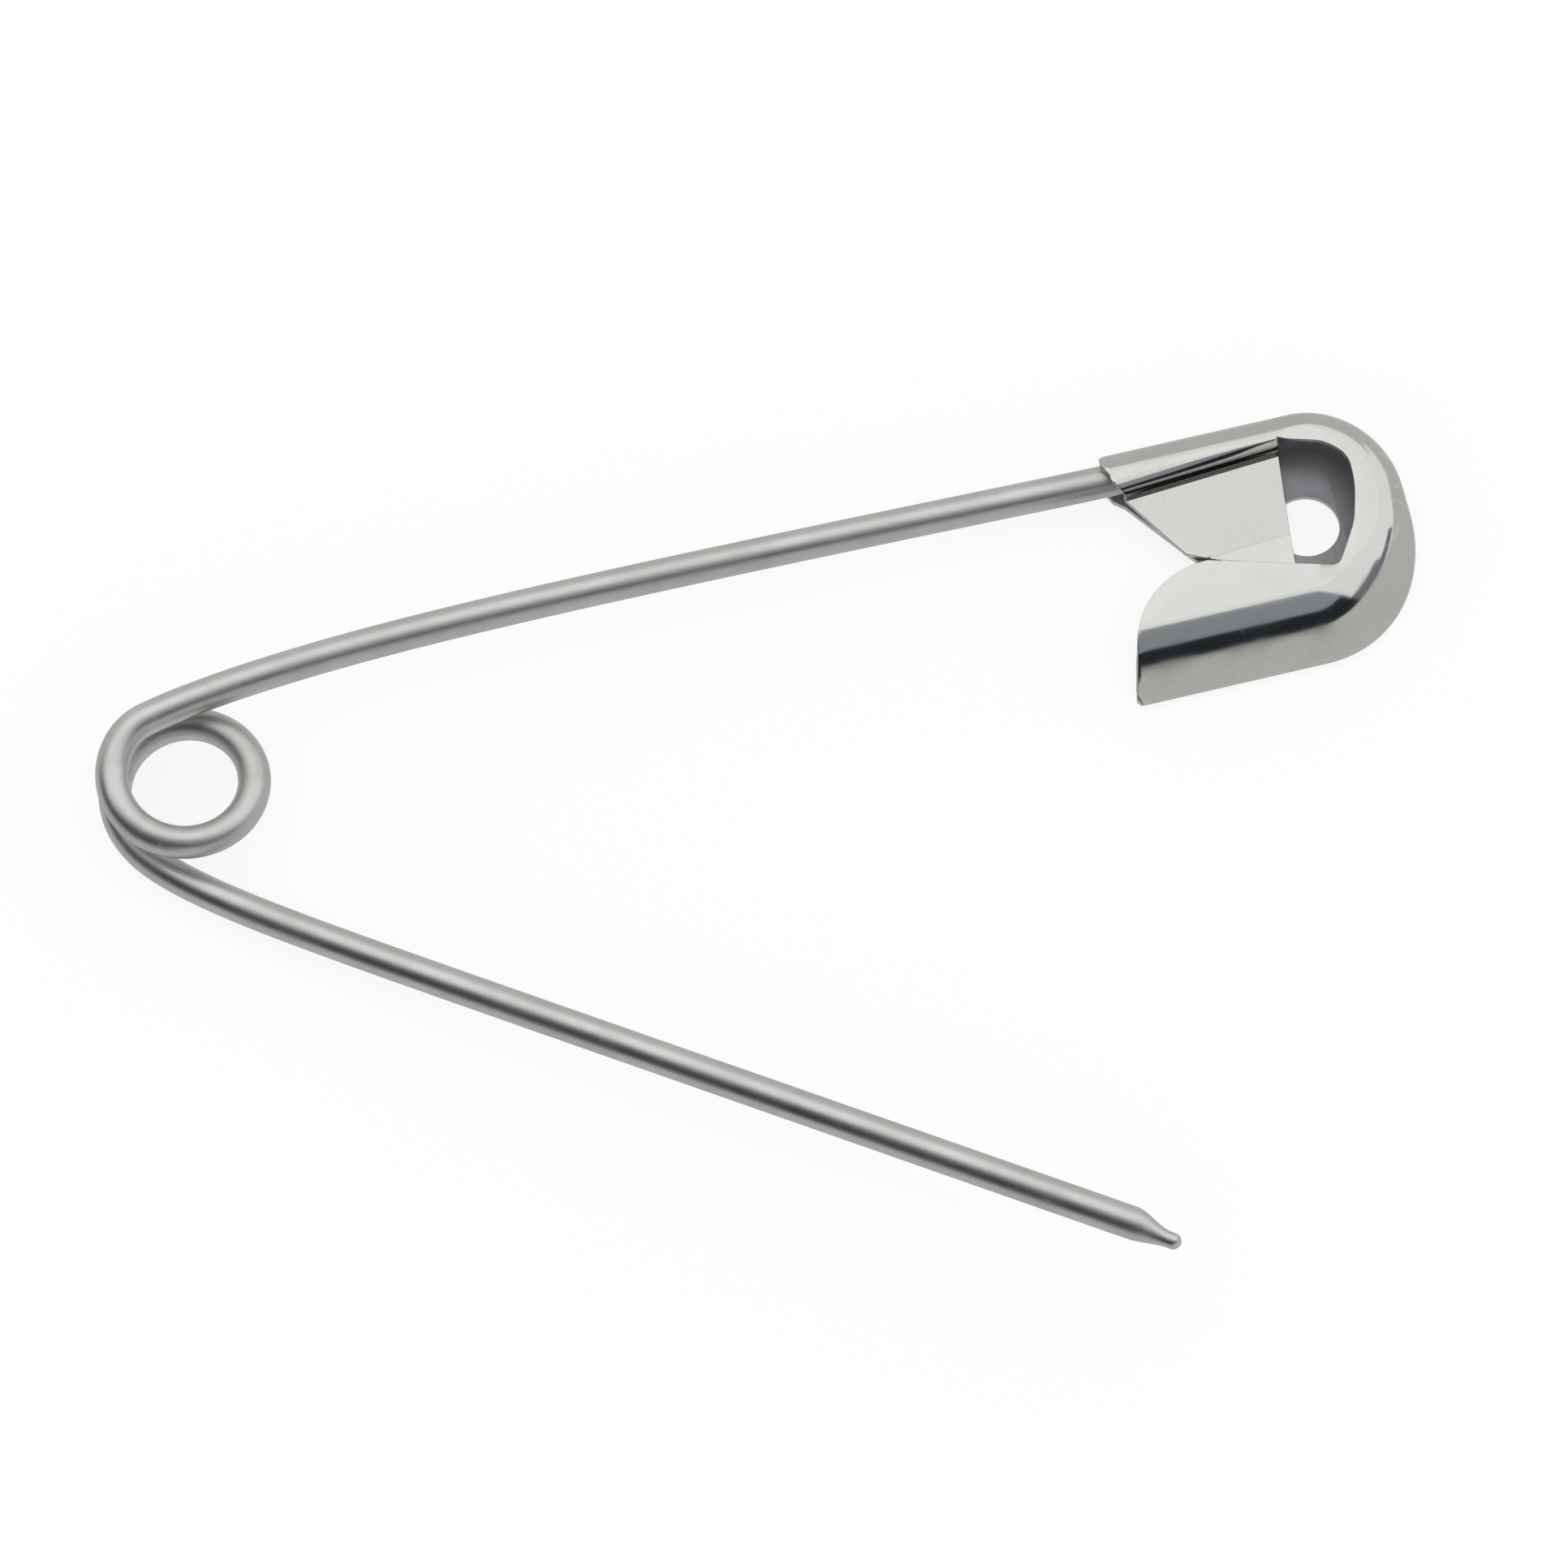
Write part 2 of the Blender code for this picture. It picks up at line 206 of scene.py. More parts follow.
tangents = []
for index in range(len(places)):
    before, after = places[max(0, index - 1)], places[min(len(places) - 1, index + 1)]
    tangents.append((after - before).normalized())
print("rings along the wire:", len(places))

# %% [markdown]
# The point is ground, not drawn. Over two millimetres the wire loses half its thickness, and
# its centre drops to the outer side, so that the outer line runs almost straight on. The
# last third of a millimetre rounds off into a small blunt tip. A bevel could round it too,
# but a share for every ring also gives the slow start of the grind. The end that is hidden
# in the clasp is only broken at its edge.

# %% Thickness along the wire
point_tip_share = 0.5
point_drop_share = 0.47
grind_reach = (0.05, 0.78)
tip_flat_share = 0.2
hidden_end_share = 0.86


def smooth_share(value, low, high):
    share = min(1, max(0, (value - low) / (high - low)))
    return share * share * (3 - 2 * share)


shares = []
outer_side = Vector((-math.sin(open_angle), -math.cos(open_angle), 0))
for index, stop in enumerate(stops):
    along_point = max(0, stop - point_start) / point_length
    ground = 1 - (1 - point_tip_share) * smooth_share(along_point, *grind_reach)
    along_tip = max(0, stop - tip_start) / tip_round_length
    rounded = max(tip_flat_share, math.sqrt(max(0, 1 - along_tip ** 2)))
    shares.append(ground * rounded)
    places[index] = places[index] + outer_side * wire_radius * (1 - ground) * point_drop_share
shares[0] = hidden_end_share
print("thickness before the last ring in mm: %.2f" % (shares[-2] * wire_diameter * 1000))

# %% [markdown]
# Nickel plate is a warm pale grey mirror. What makes it read as a used pin and not as chrome
# is small: fine lines from the rolling mill on the sheet and soft bands on the drawn wire,
# faint cloudiness, a few tiny pits and marks, and brighter rubbed edges. Photographs of
# scratches could be wrapped round it, but procedural noise stays sharp at any distance and
# needs no file. Each effect is one node group with its own inputs, so that every metal here
# can use it with other values. Groups put out values only, and the shader stays in the
# material.

# %% Node helpers
VALUE, VECTOR, COLOUR = "NodeSocketFloat", "NodeSocketVector", "NodeSocketColor"


def new_group(name, inputs, outputs):
    group = bpy.data.node_groups.new(name, "ShaderNodeTree")
    for label, kind, value in inputs:
        socket = group.interface.new_socket(label, in_out="INPUT", socket_type=kind)
        if value is not None:
            socket.default_value = value
    for label, kind in outputs:
        group.interface.new_socket(label, in_out="OUTPUT", socket_type=kind)
    return group, group.nodes.new("NodeGroupInput"), group.nodes.new("NodeGroupOutput")


def add_node(tree, kind, links=(), **settings):
    node = tree.nodes.new(kind)
    values = settings.pop("values", {})
    for key, value in settings.items():
        setattr(node, key, value)
    for key, value in values.items():
        node.inputs[key].default_value = value
    for key, source in dict(links).items():
        tree.links.new(source, node.inputs[key])
    return node


def add_maths(tree, operation, *operands):
    node = tree.nodes.new("ShaderNodeMath")
    node.operation = operation
    for socket, value in zip(node.inputs, operands):
        if isinstance(value, bpy.types.NodeSocket):
            tree.links.new(value, socket)
        else:
            socket.default_value = value
    return node.outputs[0]


def add_range(tree, value, source=(0, 1), target=(0, 1)):
    node = add_node(tree, "ShaderNodeMapRange", {"Value": value})
    for label, number in zip(("From Min", "From Max", "To Min", "To Max"), (*source, *target)):
        node.inputs[label].default_value = number
    return node.outputs["Result"]


def add_scaled(tree, colour, scale):
    links = {0: colour, "Scale": scale}
    return add_node(tree, "ShaderNodeVectorMath", links, operation="SCALE").outputs[0]


print("socket kinds:", VALUE, VECTOR, COLOUR)

# %% Shared effect: lines or bands from drawing and rolling
lines_group, group_in, group_out = new_group(
    "drawn_lines",
    [("Vector", VECTOR, None), ("Stretch", VECTOR, (1, 1, 1)), ("Depth", VALUE, 1)],
    [("Lines", VALUE)],
)
stretched = add_node(
    lines_group,
    "ShaderNodeVectorMath",
    {0: group_in.outputs["Vector"], 1: group_in.outputs["Stretch"]},
    operation="MULTIPLY",
)
noise = add_node(
    lines_group,
    "ShaderNodeTexNoise",
    {"Vector": stretched.outputs[0]},
    values={"Scale": 1, "Detail": 3, "Roughness": 0.6},
)
line_height = add_range(lines_group, noise.outputs["Fac"], source=(0.35, 0.65))
deep_lines = add_maths(lines_group, "MULTIPLY", line_height, group_in.outputs["Depth"])
lines_group.links.new(deep_lines, group_out.inputs["Lines"])
print("group:", lines_group.name)

# %% Shared effect: pits and short marks, sparse and small
marks_group, group_in, group_out = new_group(
    "small_marks",
    [("Vector", VECTOR, None), ("Scale", VALUE, 4000), ("Amount", VALUE, 0.1)],
    [("Pits", VALUE), ("Scratches", VALUE)],
)
cells = add_node(
    marks_group,
    "ShaderNodeTexVoronoi",
    {"Vector": group_in.outputs["Vector"], "Scale": group_in.outputs["Scale"]},
)
pit_reach = add_maths(marks_group, "SUBTRACT", group_in.outputs["Amount"], cells.outputs["Distance"])
pits = add_range(marks_group, pit_reach, source=(0, 0.06))
turned = add_node(
    marks_group,
    "ShaderNodeMapping",
    {"Vector": group_in.outputs["Vector"]},
    values={"Rotation": (0.3, 0.2, 0.9), "Scale": (5200, 420, 2600)},
)
scratch_noise = add_node(
    marks_group,
    "ShaderNodeTexNoise",
    {"Vector": turned.outputs[0]},
    values={"Scale": 1, "Detail": 2, "Distortion": 0.4},
)
scratches = add_range(marks_group, scratch_noise.outputs["Fac"], source=(0.66, 0.74))
marks_group.links.new(pits, group_out.inputs["Pits"])
marks_group.links.new(scratches, group_out.inputs["Scratches"])
print("group:", marks_group.name)

# %% Shared effect: cloudy handling film, and rubbed edges
wear_group, group_in, group_out = new_group(
    "handling_wear",
    [("Vector", VECTOR, None), ("Clean", COLOUR, (1, 1, 1, 1)), ("Dull", COLOUR, (1, 1, 1, 1))],
    [("Color", COLOUR), ("Film", VALUE), ("Edges", VALUE)],
)
cloud = add_node(
    wear_group,
    "ShaderNodeTexNoise",
    {"Vector": group_in.outputs["Vector"]},
    values={"Scale": 420, "Detail": 5, "Roughness": 0.55, "Distortion": 0.3},
)
film = add_range(wear_group, cloud.outputs["Fac"], source=(0.38, 0.68))
geometry = add_node(wear_group, "ShaderNodeNewGeometry")
edges = add_range(wear_group, geometry.outputs["Pointiness"], source=(0.52, 0.62))
tint = add_node(
    wear_group,
    "ShaderNodeMix",
    {0: film, 6: group_in.outputs["Clean"], 7: group_in.outputs["Dull"]},
    data_type="RGBA",
)
wear_group.links.new(tint.outputs[2], group_out.inputs["Color"])
wear_group.links.new(film, group_out.inputs["Film"])
wear_group.links.new(edges, group_out.inputs["Edges"])
print("group:", wear_group.name)

# %% [markdown]
# One function makes every metal from the three effects: they change its colour a little, its
# roughness a little, and its height by a few thousandths of a millimetre at most. Noise that
# is stretched along the wire has to follow its bends, which object coordinates can't do. So
# it reads the distance along the wire there, from a UV map, and gives soft bands with no
# seam. Pits, marks and film have no direction to follow, and they stay on object coordinates.

# %% Metal material helper
line_tones = (0.94, 1.03)
edge_tones = (1, 1.12)
pit_tones = (1, 0.72)
film_roughness = 0.07
scratch_roughness = 0.12
line_roughness = 0.05
pit_height = -1.6
scratch_height = -0.8


def place_along_the_wire(tree):
    distance_map = add_node(tree, "ShaderNodeUVMap", uv_map="along_wire")
    split = add_node(tree, "ShaderNodeSeparateXYZ", {0: distance_map.outputs[0]})
    return add_node(tree, "ShaderNodeCombineXYZ", {2: split.outputs[1]}, values={0: 1}).outputs[0]


def metal_material(name, clean, dull, roughness, stretch, line_depth, bump_height, follows_wire=False):
    material = bpy.data.materials.new(name)
    material.use_nodes = True
    tree = material.node_tree
    shader = tree.nodes["Principled BSDF"]
    shader.inputs["Metallic"].default_value = 1
    place = add_node(tree, "ShaderNodeTexCoord").outputs["Object"]
    line_place = place_along_the_wire(tree) if follows_wire else place
    lines = add_node(tree, "ShaderNodeGroup", {"Vector": line_place}, node_tree=lines_group,
                     values={"Stretch": stretch, "Depth": line_depth})
    marks = add_node(tree, "ShaderNodeGroup", {"Vector": place}, node_tree=marks_group)
    wear = add_node(tree, "ShaderNodeGroup", {"Vector": place}, node_tree=wear_group,
                    values={"Clean": (*clean, 1), "Dull": (*dull, 1)})
    line_tone = add_range(tree, lines.outputs["Lines"], target=line_tones)
    edge_tone = add_range(tree, wear.outputs["Edges"], target=edge_tones)
    pit_tone = add_range(tree, marks.outputs["Pits"], target=pit_tones)
    tone = add_maths(tree, "MULTIPLY", add_maths(tree, "MULTIPLY", line_tone, edge_tone), pit_tone)
    tree.links.new(add_scaled(tree, wear.outputs["Color"], tone), shader.inputs["Base Color"])
    rough = add_maths(tree, "MULTIPLY_ADD", wear.outputs["Film"], film_roughness, roughness)
    rough = add_maths(tree, "MULTIPLY_ADD", marks.outputs["Scratches"], scratch_roughness, rough)
    rough = add_maths(tree, "MULTIPLY_ADD", lines.outputs["Lines"], line_roughness, rough)
    tree.links.new(rough, shader.inputs["Roughness"])
    height = add_maths(tree, "MULTIPLY_ADD", marks.outputs["Pits"], pit_height, lines.outputs["Lines"])
    height = add_maths(tree, "MULTIPLY_ADD", marks.outputs["Scratches"], scratch_height, height)
    relief = {"Strength": 1, "Distance": bump_height}
    bump = add_node(tree, "ShaderNodeBump", {"Height": height}, values=relief)
    tree.links.new(bump.outputs[0], shader.inputs["Normal"])
    return material


print("the metals share:", lines_group.name, marks_group.name, wear_group.name)

# %% [markdown]
# There are four finishes. The wire has the satin of the drawing die, with soft bands where
# it was pulled unevenly. The sheet came from a rolling mill, so its lines run along the
# clasp, and they are faint because the clasp is polished. The inside of the clasp and the
# cut edges of the sheet were plated but never polished, so they are rougher and darker. The
# inside's colour is also much darker than that, which is painted shade of the hollow clasp.

# %% The finishes
drawn_nickel = metal_material(
    "drawn_nickel",
    clean=(0.7, 0.7, 0.685),
    dull=(0.65, 0.65, 0.63),
    roughness=0.36,
    stretch=(7, 7, 0.35),
    line_depth=0.8,
    bump_height=0.0000015,
    follows_wire=True,
)
sheet_nickel = metal_material(
    "sheet_nickel",
    clean=(0.685, 0.692, 0.657),
    dull=(0.665, 0.67, 0.635),
    roughness=0.08,
    stretch=(300, 9000, 9000),
    line_depth=0.25,
    bump_height=0.0000003,
)
# The inside's dark colour is painted shade of the hollow clasp; its roughness is its own.
inside_nickel_painted_shade = metal_material(
    "inside_nickel_painted_shade",
    clean=(0.34, 0.34, 0.36),
    dull=(0.27, 0.27, 0.29),
    roughness=0.42,
    stretch=(400, 7000, 7000),
    line_depth=1,
    bump_height=0.000002,
)
inside_nickel_painted_shade.node_tree.nodes["Principled BSDF"].inputs["Metallic"].default_value = 0.55
cut_nickel = metal_material(
    "cut_nickel",
    clean=(0.6, 0.6, 0.58),
    dull=(0.5, 0.5, 0.48),
    roughness=0.24,
    stretch=(2500, 2500, 9000),
    line_depth=1,
    bump_height=0.000002,
)
print("materials:", [material.name for material in bpy.data.materials])

# %% [markdown]
# At the foot of the clasp's channel the sheet is creased so tightly that the crease lies in
# shade and reads as one dark line. That shade is painted into the sheet's colour here. The
# crease is too narrow for a piece of its own. Its points carry an attribute instead, written
# when the flap is made below, and the sheet's colour is darker where the attribute is high.

# %% Painted shade in the crease of the sheet
crease_shade_tones = (1, 0.4)
tree = sheet_nickel.node_tree
base_colour = tree.nodes["Principled BSDF"].inputs["Base Color"]
crease_shade_share = add_node(tree, "ShaderNodeAttribute", attribute_name="crease").outputs["Fac"]
crease_shade_tone = add_range(tree, crease_shade_share, target=crease_shade_tones)
tree.links.new(add_scaled(tree, base_colour.links[0].from_socket, crease_shade_tone), base_colour)
print("darkest share of the colour in the crease:", crease_shade_tones[1])

# %% [markdown]
# Each stretch of wire is a circle swept along its line. A curve with a bevel depth makes
# that in one step, but in bmesh every ring can be told apart: one circle is extruded ring by
# ring, and each new ring is carried on to the next place and heading. The ring's number then
# gives the UV map its second value, the distance along the wire in millimetres.

# %% Mesh helpers
def new_object(name, bm, *materials):
    mesh = bpy.data.meshes.new(name)
    bm.to_mesh(mesh)
    bm.free()
    made = bpy.data.objects.new(name, mesh)
    bpy.context.scene.collection.objects.link(made)
    for material in materials:
        mesh.materials.append(material)
    return made


def extrude_edges(bm, edges):
    made = bmesh.ops.extrude_edge_only(bm, edges=edges)["geom"]
    verts = [item for item in made if isinstance(item, bmesh.types.BMVert)]
    faces = [item for item in made if isinstance(item, bmesh.types.BMFace)]
    far_side = set(verts)
    edges = [e for e in made if isinstance(e, bmesh.types.BMEdge) and far_side.issuperset(e.verts)]
    return verts, edges, faces


print("mesh helpers:", new_object.__name__, extrude_edges.__name__)

# %% Sweep helper
ring_sides = 40
map_scale = 1000
sharp_angle = math.radians(60)


def ring_matrix(index):
    along = tangents[index]
    side = Vector((0, 0, 1)).cross(along).normalized()
    turn = Matrix((side, along.cross(side), along)).transposed().to_4x4()
    size = Matrix.Diagonal((shares[index], shares[index], 1, 1))
    return Matrix.Translation(places[index]) @ turn @ size


def write_wire_map(bm, ring_numbers):
    layer = bm.loops.layers.uv.new("along_wire")
    for face in bm.faces:
        for loop in face.loops:
            loop[layer].uv = (0, stops[ring_numbers[loop.vert]] * map_scale)


def sweep_wire(name, first, last):
    bm = bmesh.new()
    start = ring_matrix(first)
    ring = bmesh.ops.create_circle(bm, segments=ring_sides, radius=wire_radius, matrix=start)["verts"]
    edges = list(bm.edges)
    ring_numbers = {vert: first for vert in ring}
    for index in range(first + 1, last + 1):
        ring, edges, faces = extrude_edges(bm, edges)
        ring_numbers.update({vert: index for vert in ring})
        step = ring_matrix(index) @ ring_matrix(index - 1).inverted()
        bmesh.ops.transform(bm, matrix=step, verts=ring)
    bmesh.ops.holes_fill(bm, edges=bm.edges, sides=ring_sides)
    bmesh.ops.recalc_face_normals(bm, faces=bm.faces)
    write_wire_map(bm, ring_numbers)
    wire = new_object(name, bm, drawn_nickel)
    wire.data.shade_smooth()
    wire.data.set_sharp_from_angle(angle=sharp_angle)
    print(name, "has", len(wire.data.vertices), "vertices")
    return wire


print("sides round the wire:", ring_sides)

# %% [markdown]
# The wire becomes three pieces, because the real one moves in three ways. The fixed arm
# stays with the clasp. The pin arm swings, and its root also bends a little. The coil between
# them twists. It could turn as one rigid ring, but then it would break away from the fixed
# arm. Here only the fixed arm is attached, to the frame body. The coil and the pin arm stay
# where they are made, and no body carries them.

# %% Fixed arm
fixed_arm = sweep_wire("fixed_arm_wire", 0, first_coil_ring)
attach(fixed_arm, "frame")
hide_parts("fixed_arm")

# %% Spring coil
coil = sweep_wire("spring_coil_wire", first_coil_ring, first_pin_ring)
axis = Vector(next(joint for joint in frame["joints"] if joint["name"] == "pin_swing")["pos_m"])
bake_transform(coil)
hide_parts("spring_coil")

# %% Pin arm
pin_arm = sweep_wire("pin_arm_wire", first_pin_ring, len(places) - 1)
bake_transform(pin_arm)
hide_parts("pin_arm")
print("tip at mm:", [round(value * 1000, 2) for value in places[-1]])

# %% [markdown]
# The clasp is a flat pocket in the outline of a rounded D, about 11 millimetres long. It
# could be folded from a flat blank, as the factory does, but every fold would have to be
# guessed from the photo. Instead a closed pillow is made in the pocket's outer shape and
# opened where the real one is open. Its outline is four quarter ellipses with straight edges
# between them. It runs on far past the mouth, where the pillow is cut off.

# %% Outline of the clasp, from its mouth
gutter_overhang = 0.00084
spare_length = 0.0065
corner_steps = 28
edge_steps = 30
top_corner = (0.0036, 0.0039)
low_corner = (0.0046, 0.0049)


def corner_arc(centre, reach, start_angle):
    arc = []
    for step in range(corner_steps + 1):
        angle = math.radians(start_angle + 90 * step / corner_steps)
        along, up = reach[0] * math.cos(angle), reach[1] * math.sin(angle)
        arc.append(Vector((centre[0] + along, centre[1] + up)))
    return arc


def edge_between(start, end):
    return [start.lerp(end, step / edge_steps) for step in range(1, edge_steps)]


far_left = -gutter_overhang - spare_length
corners = [
    corner_arc((clasp_length - low_corner[0], clasp_low + low_corner[1]), low_corner, -90),
    corner_arc((clasp_length - top_corner[0], clasp_top - top_corner[1]), top_corner, 0),
    corner_arc((far_left + top_corner[0], clasp_top - top_corner[1]), top_corner, 90),
    corner_arc((far_left + low_corner[0], clasp_low + low_corner[1]), low_corner, 180),
]
outline = []
for index, arc in enumerate(corners):
    outline += arc + edge_between(arc[-1], corners[(index + 1) % 4][0])
print("outline points:", len(outline))

# %% [markdown]
# The rim's section is not the same all round. The round end has a plain half circle. Along
# the gutter, where the point rests, the front rolls over much wider than the back. Its bend
# is slow in some stretches and tight in others, which gives the bands of the reflection. A
# list of bends says this: from one slope to another, in degrees, over a length. At 90 the
# sheet lies flat, at 0 it stands upright. A share from 0 to 1 turns the half circle into the
# gutter's section.

# %% Sections of the rim
rim_steps = 48
steps_between = 8
rim_radius = clasp_height / 2
gutter_bends = [
    (90, 73, 0.00019),
    (73, 58, 0.00083),
    (58, 45, 0.00057),
    (45, 40, 0.0014),
    (40, 0, 0.00026),
    (0, -90, 0.00046),
]


def bends_at(gutter):
    bends = []
    for start, end, length in gutter_bends:
        round_length = rim_radius * math.radians(start - end)
        bends.append((start, end, round_length + (length - round_length) * gutter))
    return bends


def slope_at(bends, along):
    for start, end, length in bends:
        if along <= length:
            return math.radians(start + (end - start) * along / length)
        along -= length
    return math.radians(bends[-1][1])


def section_points(gutter):
    bends = bends_at(gutter)
    step_length = sum(bend[2] for bend in bends) / (rim_steps * steps_between)
    reach, level, points = 0, 0, [Vector((0, 0))]
    for step in range(rim_steps * steps_between):
        slope = slope_at(bends, (step + 1 / 2) * step_length)
        reach += math.sin(slope) * step_length
        level -= math.cos(slope) * step_length
        if step % steps_between == steps_between - 1:
            points.append(Vector((reach, level)))
    farthest = max(point.x for point in points)
    stretch = -clasp_height / points[-1].y
    return [Vector((point.x - farthest, clasp_height + point.y * stretch)) for point in points]


widths = [-section_points(gutter)[0].x * 1000 for gutter in (0, 1)]
print("rim width in mm: %.2f at the round end, %.2f along the gutter" % tuple(widths))

# %% [markdown]
# The pillow starts as one closed line of edges on its front. That line is extruded round the
# rim, ring by ring, and each ring's points go to their places in the sections. The two ends
# are closed by one flat face each. A bevelled block would be quicker, but its bevel has the
# same section all round.

# %% Rim rings of the clasp
gutter_fade = (clasp_low + 0.0005, -0.0025)
gutter_shares = [1 - smooth_share(place.y, *gutter_fade) for place in outline]
sections = [section_points(gutter) for gutter in gutter_shares]


def inward_at(index):
    before, after = outline[index - 1], outline[(index + 1) % len(outline)]
    edge = (after - before).normalized()
    return Vector((-edge.y, edge.x))


def rim_point(index, step):
    section = sections[index][step]
    place = outline[index] - inward_at(index) * section.x
    return mouth + Vector((place.x, place.y, section.y))


pillow = bmesh.new()
ring = [pillow.verts.new(rim_point(index, 0)) for index in range(len(outline))]
front_edges = [pillow.edges.new((ring[i - 1], ring[i])) for i in range(len(ring))]
back_edges = front_edges
for step in range(1, rim_steps + 1):
    verts, back_edges, faces = extrude_edges(pillow, back_edges)
    new = set(verts)
    ring = [next(e.other_vert(v) for e in v.link_edges if e.other_vert(v) in new) for v in ring]
    for index, vert in enumerate(ring):
        vert.co = rim_point(index, step)
bmesh.ops.contextual_create(pillow, geom=front_edges)
bmesh.ops.contextual_create(pillow, geom=back_edges)
bmesh.ops.recalc_face_normals(pillow, faces=pillow.faces)
print("pillow faces:", len(pillow.faces))

# %% [markdown]
# Openings are cut while the clasp is still a closed form, because Booleans on closed forms
# are exact. The cuts are the front opening with the window, the notch where the point
# enters, and the stamped hole. Each cutter is an upright prism over an outline, whose places
# are measured from the clasp's mouth.

# %% Cutter helpers
overrun = 0.004
corner_cut_steps = 6
cutter_material = bpy.data.materials.new("cutter")


def prism(name, points, low, high):
    bm = bmesh.new()
    verts = [bm.verts.new(mouth + Vector((x, y, low))) for x, y in points]
    edges = [bm.edges.new((verts[i - 1], verts[i])) for i in range(len(verts))]
    face = bmesh.ops.contextual_create(bm, geom=edges)["faces"]
    lifted = bmesh.ops.extrude_face_region(bm, geom=face, use_keep_orig=True)["geom"]
    lifted = [vert for vert in lifted if isinstance(vert, bmesh.types.BMVert)]
    bmesh.ops.translate(bm, verts=lifted, vec=(0, 0, high - low))
    bmesh.ops.recalc_face_normals(bm, faces=bm.faces)
    cutter = new_object(name, bm, cutter_material)
    cutter.hide_render = True
    return cutter


def rounded_corners(corners):
    points = []
    for index, (x, y, reach) in enumerate(corners):
        here = Vector((x, y))
        if not reach:
            points.append((x, y))
            continue
        before, after = Vector(corners[index - 1][:2]), Vector(corners[(index + 1) % len(corners)][:2])
        start = here + (before - here).normalized() * reach
        end = here + (after - here).normalized() * reach
        for step in range(corner_cut_steps + 1):
            share = step / corner_cut_steps
            points.append(tuple(start.lerp(here, share).lerp(here.lerp(end, share), share)))
    return points


print("cutters reach past the sheet by mm: %.0f" % (overrun * 1000))

# %% [markdown]
# The front opening is one outline. It follows the slot that the point passes through, goes
# round the window at the clasp's round end, back along the crest of the channel, and out
# past the mouth. Each corner has its place and the length over which it is rounded.

# %% Front opening with the window
channel_end = 0.00695
crest_y = -0.00022
slot_start = Vector((0.00295, -0.0047))
slot_slope = math.tan(math.radians(16.4))
slot_end_x = 0.00776
far_past_mouth = far_left - overrun
front_cut_level = clasp_height * 0.75


def slot_edge(x):
    return slot_start.y - (x - slot_start.x) * slot_slope


front_corners = [
    (slot_start.x / 2, slot_edge(slot_start.x / 2), 0),
    (slot_end_x, slot_edge(slot_end_x), 0.0003),
    (0.0083, -0.0053, 0.0003),
    (0.00883, -0.00444, 0.0004),
    (0.0093, -0.0029, 0.0006),
    (0.00936, -0.00165, 0.0005),
    (0.00865, -0.0009, 0.0004),
    (0.00725, -0.0004, 0.0002),
    (channel_end, crest_y, 0),
    (far_past_mouth, crest_y, 0),
    (far_past_mouth, slot_start.y + clasp_top, 0),
]
front_points = rounded_corners(front_corners)
front_opening = prism("front_opening", front_points, front_cut_level, clasp_height + overrun)
print("points of the front opening:", len(front_points))

# %% [markdown]
# The notch cuts through front and back at the mouth. Its edge leans across the channel's
# end, runs down beside the pressed flap to the slot, turns round the lip over which the
# point slides in, and leaves along the gutter's slanted end. The hole is stamped through the
# back alone.

# %% Notch and hole
lip_radius = 0.00355
lip_turn = math.radians(75)
lip_steps = 24
hole_radius = 0.00128
hole_sides = 64
hole_place = Vector((0.00735, -0.00334))
back_cut_level = clasp_height / 4
far_below = -overrun * 3

notch_points = [(far_past_mouth, overrun), (0.001, overrun), (0.0006, clasp_top + 0.0001)]
notch_points += [(0.00015, clasp_top - 0.00025), (0.0001, 0.0003), (0.00045, -0.0005)]
notch_points += [(0.00085, -0.00085), (0.00292, -0.00378), (0.00294, -0.00445)]
for step in range(lip_steps + 1):
    angle = lip_turn * step / lip_steps
    place = slot_start + Vector((-math.sin(angle), math.cos(angle) - 1)) * lip_radius
    notch_points.append(tuple(place))
notch_points += [(-0.00086, -0.00885), (-0.00045, -0.0096), (0, far_below), (far_past_mouth, far_below)]
notch = prism("notch", notch_points, -overrun, clasp_height + overrun)

hole_points = []
for step in range(hole_sides):
    angle = math.tau * step / hole_sides
    hole_points.append(tuple(hole_place + Vector((math.cos(angle), math.sin(angle))) * hole_radius))
hole = prism("hole", hole_points, -overrun, back_cut_level)
print("cutters:", front_opening.name, notch.name, hole.name)

# %% [markdown]
# The real clasp is hollow, because it is folded. The cutters have a material of their own
# and hand it on, so after the cut their faces are known and are deleted. What is left is
# the open skin of the folded sheet. Faces could also be picked by their place, but that
# choice would have to be mended after every change of the outline.

# %% Cut the pillow down to the open skin
weld_distance = sheet_thickness / 500
pillow_object = new_object("pillow", pillow, sheet_nickel)
for cutter in (front_opening, notch, hole):
    cut = pillow_object.modifiers.new(cutter.name, "BOOLEAN")
    cut.operation = "DIFFERENCE"
    cut.solver = "EXACT"
    cut.material_mode = "TRANSFER"
    cut.object = cutter
bpy.context.view_layer.update()
evaluated = pillow_object.evaluated_get(bpy.context.evaluated_depsgraph_get())
cut_mesh = bpy.data.meshes.new_from_object(evaluated)
cutter_slots = {i for i, material in enumerate(cut_mesh.materials) if material == cutter_material}
skin = bmesh.new()
skin.from_mesh(cut_mesh)
inside = [face for face in skin.faces if face.material_index in cutter_slots]
bmesh.ops.delete(skin, geom=inside, context="FACES")
bmesh.ops.remove_doubles(skin, verts=skin.verts, dist=weld_distance)
for used in (pillow_object, front_opening, notch, hole):
    bpy.data.objects.remove(used)
print("skin faces:", len(skin.faces), "open edges:", sum(edge.is_boundary for edge in skin.edges))

